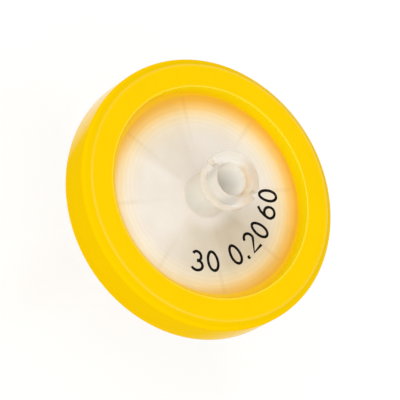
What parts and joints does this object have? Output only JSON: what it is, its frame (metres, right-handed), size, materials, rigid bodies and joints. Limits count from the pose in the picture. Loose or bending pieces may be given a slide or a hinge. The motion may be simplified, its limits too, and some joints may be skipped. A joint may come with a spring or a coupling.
{
  "type": "syringe filter",
  "caption": "Disc syringe filter with a female luer lock inlet, a male luer slip outlet and a yellow ring moulded round its rim",
  "frame": {"origin": "centre of the inlet's mouth, where the syringe is locked on", "axes": "+Z runs along the filter's axis and out of the inlet, so the disc and the outlet lie below the origin; the front view of the print is from -Y, with +X to its right"},
  "size_m": [0.0376, 0.0376, 0.0226],
  "materials": {
    "natural_plastic": "translucent natural polypropylene, semi-gloss",
    "membrane_white": "matt porous nylon",
    "yellow_plastic": "semi-gloss yellow polypropylene"
  },
  "bodies": {
    "root": {"inlet_housing": "natural_plastic", "membrane": "membrane_white", "outlet_housing": "natural_plastic", "overmoulded_ring": "yellow_plastic"}
  },
  "joints": []
}
